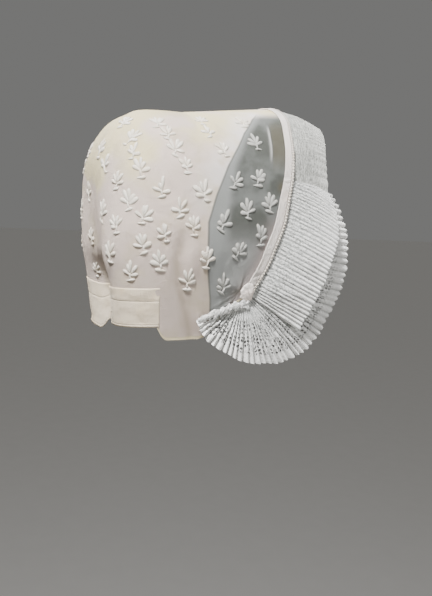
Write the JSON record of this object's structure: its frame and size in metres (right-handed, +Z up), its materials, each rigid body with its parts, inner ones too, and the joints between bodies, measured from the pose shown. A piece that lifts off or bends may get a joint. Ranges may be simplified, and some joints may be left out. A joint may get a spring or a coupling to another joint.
{
  "type": "nightcap",
  "caption": "White embroidered muslin nightcap with a lined crown, plain bands and pleated lace frills that fan out round the cheeks.",
  "frame": {"origin": "inner top of the crown, midway between the nape and the brow, where the cap sits on the head", "axes": "+Z up, face opening towards -Y, wearer's left towards +X"},
  "size_m": [0.1862, 0.2178, 0.2236],
  "materials": {
    "muslin": "sheer white cotton muslin with raised white sprigs",
    "lining_cotton": "plain opaque off-white cotton",
    "band_cotton": "plain off-white cotton tape and muslin, matt",
    "lace": "starched white net lace, finely pleated"
  },
  "bodies": {
    "root": {"crown": "muslin", "crown_lining": "lining_cotton", "face_band": "band_cotton", "nape_band_right": "band_cotton", "nape_band_left": "band_cotton", "brow_lace": "lace", "side_frill_right": "lace", "side_frill_left": "lace", "under_frill_right": "lace", "under_frill_left": "lace", "frill_heading_right": "band_cotton", "frill_heading_left": "band_cotton"}
  },
  "joints": []
}
